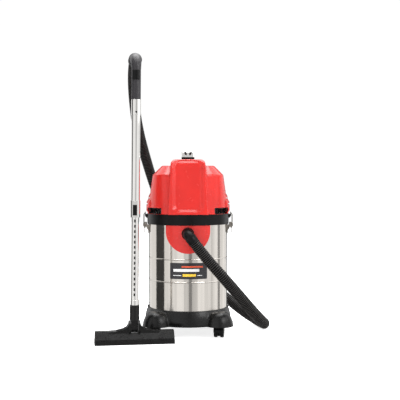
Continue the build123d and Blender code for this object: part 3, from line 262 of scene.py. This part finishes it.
FINISH = {
    "black_plastic": (
        "trolley_base inlet_socket inlet_nut inlet_deflector hose_elbow hose_cuff head_base vent_grilles "
        "handle_feet float_cage switch_bezel cable_gland lock_button "
        "catch_button regulator_slider"
    ),
    "tool_plastic": "nozzle_neck nozzle_body nozzle_insert",
    "caster_black": " ".join(n for n in NODES if n.startswith("caster_")),
    "grip_plastic": "wand_grip",
    "red_plastic": "head_cover inlet_plate",
    "switch_red": "rocker_switch",
    "float_white": "float_ball",
    "rubber": "tank_gasket motor_gasket squeegee_strips",
    "carbon": "carbon_brushes",
    "drum_steel": "tank_drum",
    "chrome": "upper_tube tube_sleeve lower_tube carry_handle",
    "zinc_steel": (
        "latch_brackets latch_pins latch_rivets latch_lever_left latch_lever_right latch_bail_left "
        "latch_bail_right fan_housing motor_bearings cover_screws motor_shaft"
    ),
    "motor_alloy": "motor_frame suction_fan cooling_fan",
    "copper": "commutator",
    "motor_core": "motor_stator armature",
    "hose_black": "suction_hose",
    "foam": "exhaust_foam filter_sleeve",
}


def dress(obj, material):
    obj.data.materials.clear()
    obj.data.materials.append(MATERIALS[material])


finished = set()
for finish, names in FINISH.items():
    for name in names.split():
        dress(NODES[name], finish)
        finished.add(name)
if finished != set(NODES):
    raise ValueError(f"nodes with no finish: {sorted(set(NODES) - finished)}")


# ---- mesh helpers ---------------------------------------------------------------------------
def piece(name, points, faces, material, body, smooth=True):
    """A mesh piece that rides on a body, with the material it is given."""
    mesh = bpy.data.meshes.new(name)
    mesh.from_pydata([tuple(p) for p in points], [], faces)
    mesh.validate()
    mesh.update()
    if smooth:
        mesh.polygons.foreach_set("use_smooth", [True] * len(mesh.polygons))
    obj = bpy.data.objects.new(name, mesh)
    bpy.context.scene.collection.objects.link(obj)
    obj.data.materials.append(material)
    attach(obj, body)
    return obj


def route_line():
    """The hose's centreline: the NURBS spline with the route's points as its control points."""
    curve = bpy.data.curves.new("route", "CURVE")
    curve.dimensions = "3D"
    curve.resolution_u = 48
    spline = curve.splines.new("NURBS")
    spline.points.add(len(HOSE_ROUTE) - 1)
    for point, place in zip(spline.points, HOSE_ROUTE):
        point.co = (*place, 1.0)
    spline.order_u = 3
    spline.use_endpoint_u = True
    holder = bpy.data.objects.new("route", curve)
    line = bpy.data.meshes.new_from_object(holder)
    points = [v.co.copy() for v in line.vertices]
    bpy.data.objects.remove(holder)
    bpy.data.curves.remove(curve)
    bpy.data.meshes.remove(line)
    return points


def stations(line, step):
    """Points every step along a line, each with its heading."""
    found, left = [], 0.0
    for a, b in zip(line, line[1:]):
        length = (b - a).length
        if length < 1e-9:
            continue
        while left <= length:
            found.append((a.lerp(b, left / length), (b - a).normalized()))
            left += step
        left -= length
    return found


def ribbed_hose(line):
    """The hose's skin: round ribs a pitch apart, thinned and thickened along the line."""
    profile = (1.0, 0.86, 0.25, 0.0, 0.25, 0.86)
    sides = 32
    places = stations(line, RIB_PITCH / len(profile))
    points, faces = [], []
    across = places[0][1].orthogonal().normalized()
    before = places[0][1]
    for i, (centre, ahead) in enumerate(places):
        across = before.rotation_difference(ahead) @ across
        across = (across - ahead * across.dot(ahead)).normalized()
        before = ahead
        other = ahead.cross(across)
        radius = HOSE_D / 2 - RIB_DEPTH * (1 - profile[i % len(profile)])
        for k in range(sides):
            turn = 2 * math.pi * k / sides
            points.append(centre + (across * math.cos(turn) + other * math.sin(turn)) * radius)
    for i in range(len(places) - 1):
        for k in range(sides):
            a, b = i * sides + k, i * sides + (k + 1) % sides
            faces.append((a, b, b + sides, a + sides))
    hose = piece("ribbed_hose", points, faces, MATERIALS["hose_black"], "root")
    hose.visible_glossy = False
    crest = hose.data.attributes.new("crest", "FLOAT", "POINT")
    crest.data.foreach_set("value", [profile[i // sides % len(profile)] ** 2 for i in range(len(points))])
    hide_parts("suction_hose")


def drum_patch(name, columns, lift, thickness, material):
    """A thin sheet bent round the drum's front. columns are (x across, low z, high z) from left to right."""
    points, faces = [], []
    rows = 6
    for x, low, high in columns:
        for layer in (lift + thickness, lift):
            radius = DRUM_R + layer
            turn = x / DRUM_R
            for r in range(rows + 1):
                z = low + (high - low) * r / rows
                points.append((radius * math.sin(turn), -radius * math.cos(turn), z))
    per = rows + 1
    for c in range(len(columns) - 1):
        here, there = c * 2 * per, (c + 1) * 2 * per
        for r in range(rows):
            faces.append((here + r, there + r, there + r + 1, here + r + 1))
            faces.append((here + per + r, here + per + r + 1, there + per + r + 1, there + per + r))
        faces.append((here, here + per, there + per, there))
        faces.append((here + rows, there + rows, there + per + rows, here + per + rows))
    for base in (0, (len(columns) - 1) * 2 * per):
        for r in range(rows):
            quad = (base + r, base + r + 1, base + per + r + 1, base + per + r)
            faces.append(quad if base == 0 else quad[::-1])
    return piece(name, points, faces, material, "root", smooth=False)


def rounded_columns(x0, x1, low, high, corner, steps=6):
    """Columns of a rectangle with round corners."""
    columns = []
    for i in range(steps + 1):
        turn = math.pi / 2 * i / steps
        inset = corner * (1 - math.sin(turn))
        columns.append((x0 + corner * (1 - math.cos(turn)), low + inset, high - inset))
    middle = [(x0 + corner + (x1 - x0 - 2 * corner) * i / 16, low, high) for i in range(1, 16)]
    return columns + middle + [(x0 + x1 - x, a, b) for x, a, b in reversed(columns)]


# ---- pieces -----------------------------------------------------------------------------------
def make_label():
    """A printed film on the drum's front with a plain pattern of bars."""
    left, right, low, high = -0.073, 0.078, 0.231, 0.2945
    film = moulded("label_film", (0.020, 0.019, 0.022), 0.25, grain=0.03, radius=0.0003, edge_wear_and_highlight=1.5)
    white = moulded("label_white", (0.80, 0.80, 0.80), 0.28, grain=0.03, radius=0.0002, edge_wear_and_highlight=1.02)
    orange = moulded("label_orange", (0.75, 0.09, 0.03), 0.28, grain=0.03, radius=0.0002, edge_wear_and_highlight=1.05)
    yellow = moulded("label_yellow", (0.86, 0.55, 0.03), 0.28, grain=0.03, radius=0.0002, edge_wear_and_highlight=1.05)
    drum_patch("label_film", rounded_columns(left, right, low, high, 0.004), 0.0001, 0.0003, film)

    def bar(name, x0, x1, z0, z1, material, slant=0.0):
        columns = [(x0 + (x1 - x0) * i / 12, z0 + slant * i / 12, z1 + slant * i / 12) for i in range(13)]
        drum_patch(name, columns, 0.0004, 0.0001, material)

    bar("label_bar_white", left + 0.014, left + 0.118, low + 0.029, low + 0.040, white)
    bar("label_bar_orange", left + 0.048, right - 0.018, low + 0.0455, low + 0.0515, orange)
    bar("label_bar_yellow", left + 0.052, left + 0.104, low + 0.010, low + 0.020, yellow)
    bar("label_line_left", left + 0.014, left + 0.046, low + 0.013, low + 0.0155, white)
    bar("label_line_right", left + 0.110, left + 0.130, low + 0.013, low + 0.0155, white)


def make_seam():
    """The drum's butt weld down its back: a low rounded bead with a heat-tinted strip."""
    low, high = 0.090, 0.440
    weld = metal("weld_steel", (0.40, 0.36, 0.31), 0.30, (1, 1, 0.2), 900, 0.5)
    points, faces = [], []
    rows, across = 60, 7
    for r in range(rows + 1):
        z = low + (high - low) * r / rows
        for k in range(across):
            side = k / (across - 1) * 2 - 1
            rise = 0.0001 + 0.0006 * (1 - side * side) * (1 + 0.15 * math.sin(z * 900))
            turn = side * 0.0022 / DRUM_R
            points.append(((DRUM_R + rise) * math.sin(turn), (DRUM_R + rise) * math.cos(turn), z))
    for r in range(rows):
        for k in range(across - 1):
            a = r * across + k
            faces.append((a, a + across, a + across + 1, a + 1))
    piece("drum_weld", points, faces, weld, "root")


def make_skin(node, name, voxel, factor, rounds, outside, finish):
    """A moulding with its sharp creases flowed into one another where outside(place, facing) says so."""
    rough = bpy.data.objects.new("rough", NODES[node].data.copy())
    bpy.context.scene.collection.objects.link(rough)
    remesh = rough.modifiers.new("remesh", "REMESH")
    remesh.mode, remesh.voxel_size = "VOXEL", voxel
    mesh = bpy.data.meshes.new_from_object(rough.evaluated_get(bpy.context.evaluated_depsgraph_get()))
    bpy.data.objects.remove(rough)
    shape = bpy.data.objects.new("shape", mesh)
    bpy.context.scene.collection.objects.link(shape)
    soft = shape.vertex_groups.new(name="soft")
    soft.add([v.index for v in mesh.vertices if outside(v.co, v.normal)], 1.0, "REPLACE")
    flow = shape.modifiers.new("flow", "SMOOTH")
    flow.factor, flow.iterations, flow.vertex_group = factor, rounds, "soft"
    finished = bpy.data.meshes.new_from_object(shape.evaluated_get(bpy.context.evaluated_depsgraph_get()))
    bpy.data.objects.remove(shape)
    finished.name = name
    skin = bpy.data.objects.new(name, finished)
    bpy.context.scene.collection.objects.link(skin)
    finished.polygons.foreach_set("use_smooth", [True] * len(finished.polygons))
    finished.materials.clear()
    finished.materials.append(MATERIALS[finish])
    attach(skin, BODY_OF[node])
    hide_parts(node)


BODY_OF = {"trolley_base": "root", "head_cover": "head"}
TROLLEY_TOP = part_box("trolley_base")[1].z - 0.012
COVER_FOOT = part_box("head_cover")[0].z + 0.005


def outward(place, facing):
    return (place.x * facing.x + place.y * facing.y) / max(math.hypot(place.x, place.y), 1e-6)


def trolley_outside(place, facing):
    """The upper side of the trolley clear of the drum's seat."""
    clear = math.hypot(place.x, place.y) > DRUM_R + 0.0035 and 0.046 < place.z < TROLLEY_TOP
    return clear and max(outward(place, facing), facing.z) > 0.0


def cover_outside(place, facing):
    """The cover's shown faces, away from its foot."""
    return place.z > COVER_FOOT and max(outward(place, facing), facing.z) > 0.15


def make_handle_plugs():
    """Slanted oval rubber plugs in both ends of the carry handle."""
    low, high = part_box("carry_handle")
    sides, rings = 28, 4
    for end, y in (("front", low.y), ("rear", high.y)):
        facing = -1 if end == "front" else 1
        for hand in (-1, 1):
            points, faces = [], []
            slant = math.radians(24) * hand
            centre = Vector((hand * 0.0098, y - facing * 0.004, low.z + 0.0150))
            for r in range(rings + 1):
                share = math.cos(math.pi / 2 * r / rings)
                for k in range(sides):
                    turn = 2 * math.pi * k / sides
                    x, z = 0.0046 * share * math.cos(turn), 0.0082 * share * math.sin(turn)
                    points.append(centre + Vector((
                        x * math.cos(slant) + z * math.sin(slant),
                        facing * 0.0045 * math.sin(math.pi / 2 * r / rings),
                        z * math.cos(slant) - x * math.sin(slant),
                    )))
            for r in range(rings):
                for k in range(sides):
                    a, b = r * sides + k, r * sides + (k + 1) % sides
                    faces.append((a, b, b + sides, a + sides))
            name = f"handle_plug_{end}_{'left' if hand < 0 else 'right'}"
            piece(name, points, faces, MATERIALS["rubber"], "head")


def make_detent_shade():
    """A black sheet inside the lower tube, seen through its detent windows as painted shade."""
    foot, top, radius = (-0.2031, -0.262, 0.170), (-0.2010, -0.262, 0.482), 0.0137
    points, faces = [], []
    rows, sides = 40, 14
    for r in range(rows + 1):
        centre = Vector(foot).lerp(Vector(top), r / rows)
        for k in range(sides + 1):
            turn = math.radians(-60 + 120 * k / sides)
            points.append(centre + Vector((math.sin(turn) * radius, -math.cos(turn) * radius, 0)))
    for r in range(rows):
        for k in range(sides):
            a = r * (sides + 1) + k
            faces.append((a, a + 1, a + sides + 2, a + sides + 1))
    piece("detent_shade_sheet", points, faces, MATERIALS["rubber"], "lower_wand")


make_label()
make_seam()
make_skin("trolley_base", "trolley_moulding", 0.0022, 0.6, 34, trolley_outside, "trolley_plastic")
make_skin("head_cover", "cover_moulding", 0.0017, 0.6, 14, cover_outside, "red_plastic")
make_handle_plugs()
# A dark sheet that puts painted shade in the lower tube's detent windows.
make_detent_shade()
ribbed_hose(route_line())
NODES["nozzle_neck"].visible_glossy = False


# ---- studio ---------------------------------------------------------------------------------------
def pale(name, value, glow=0.0):
    s = Shader(name)
    here = s.place((1, 1, 1))
    tone = s.span(s.noise(here, 3, 3), value * 0.98, value)
    colour = s.add("ShaderNodeCombineColor")
    for k in range(3):
        s.tree.links.new(tone, colour.inputs[k])
    s.put(s.bsdf, Base_Color=colour.outputs[0], Roughness=0.8)
    if glow:
        s.bsdf.inputs["Emission Color"].default_value = (1, 1, 1, 1)
        s.bsdf.inputs["Emission Strength"].default_value = glow
    return s.material


def panel(name, azimuth, width, low, high, away, material):
    """An upright board facing the drum, seen only in reflections. azimuth is from the front, + to the right."""
    centre = Vector((math.sin(azimuth), -math.cos(azimuth), 0)) * away
    side = Vector((math.cos(azimuth), math.sin(azimuth), 0)) * (width / 2)
    points = [centre - side + Vector((0, 0, low)), centre + side + Vector((0, 0, low)),
              centre + side + Vector((0, 0, high)), centre - side + Vector((0, 0, high))]
    mesh = bpy.data.meshes.new(name)
    mesh.from_pydata([tuple(p) for p in points], [], [(0, 1, 2, 3)])
    board = bpy.data.objects.new(name, mesh)
    bpy.context.scene.collection.objects.link(board)
    board.data.materials.append(material)
    board.visible_camera = board.visible_diffuse = board.visible_shadow = False
    return board


def make_surround():
    """A bright round wall far outside, seen by the camera and in reflections."""
    radius, low, high, sides = 9.0, -5.0, 9.0, 64
    points, faces = [], []
    for z in (low, high):
        for k in range(sides):
            turn = 2 * math.pi * k / sides
            points.append((radius * math.cos(turn), radius * math.sin(turn), z))
    for k in range(sides):
        faces.append((k, (k + 1) % sides, sides + (k + 1) % sides, sides + k))
    mesh = bpy.data.meshes.new("surround")
    mesh.from_pydata(points, [], faces)
    wall = bpy.data.objects.new("surround", mesh)
    bpy.context.scene.collection.objects.link(wall)
    wall.data.materials.append(pale("surround_white", 0.0, glow=1.0))
    wall.visible_diffuse = wall.visible_shadow = False


def make_studio():
    bpy.ops.mesh.primitive_plane_add(size=40)
    floor = bpy.context.object
    floor.name = "floor"
    floor.data.materials.append(pale("floor_white", 0.90, glow=0.80))
    floor.visible_glossy = False
    make_surround()
    world = bpy.data.worlds.new("studio")
    bpy.context.scene.world = world
    world.use_nodes = True
    world.node_tree.nodes["Background"].inputs["Color"].default_value = (1, 1, 1, 1)
    world.node_tree.nodes["Background"].inputs["Strength"].default_value = 0.48
    dark, grey, light = pale("board_dark", 0.0, glow=0.03), pale("board_grey", 0.0, 0.30), pale("board_light", 0.0, 0.72)
    panel("board_left", math.radians(-87.5), 1.30, -2.0, 4.0, 2.2, dark)
    panel("board_front", math.radians(8), 2.30, -2.0, 4.0, 3.2, light)
    panel("board_post", math.radians(7), 0.46, -2.0, 4.0, 3.0, grey)
    panel("board_back_left", math.radians(-160), 0.85, -2.0, 4.0, 3.0, dark)
    panel("board_back_right", math.radians(160), 0.85, -2.0, 4.0, 3.0, dark)
    panel("board_right", math.radians(100), 0.45, -2.0, 4.0, 2.4, grey)
    panel("board_side", math.radians(72), 0.16, -2.0, 4.0, 2.4, light)
    panel("board_high_right", math.radians(80), 2.6, 1.0, 2.2, 2.4, pale("board_bright", 0.0, 2.2))
    overhead = panel("board_overhead", 0.0, 6.0, 0.3, 4.3, 0.0, pale("board_sky", 0.0, 1.9))
    overhead.rotation_euler = (math.radians(-90), 0, 0)
    overhead.location = (0, 0, 3.0)
    for name, place, size, power in (
        ("key", (2.3, -2.4, 2.3), 1.5, 40),
        ("top", (0.0, 0.1, 3.0), 2.4, 95),
        ("fill", (-2.4, -2.4, 1.4), 1.6, 10),
    ):
        lamp = bpy.data.lights.new(name, "AREA")
        lamp.size, lamp.energy = size, power
        holder = bpy.data.objects.new(name, lamp)
        holder.location = place
        holder.visible_glossy = name != "fill"
        holder.rotation_euler = (Vector((0, 0, 0.5)) - Vector(place)).to_track_quat("-Z", "Y").to_euler()
        bpy.context.scene.collection.objects.link(holder)


def make_camera():
    lens = bpy.data.cameras.new("camera")
    lens.lens, lens.sensor_width = 75.6, 36
    lens.shift_x, lens.shift_y = 0.03, -0.05
    camera = bpy.data.objects.new("camera", lens)
    camera.location = (0.0, -3.46, 0.621)
    camera.rotation_euler = (math.pi / 2, 0, 0)
    bpy.context.scene.collection.objects.link(camera)
    bpy.context.scene.camera = camera
    bpy.context.scene.view_settings.view_transform = "Standard"


make_studio()
make_camera()
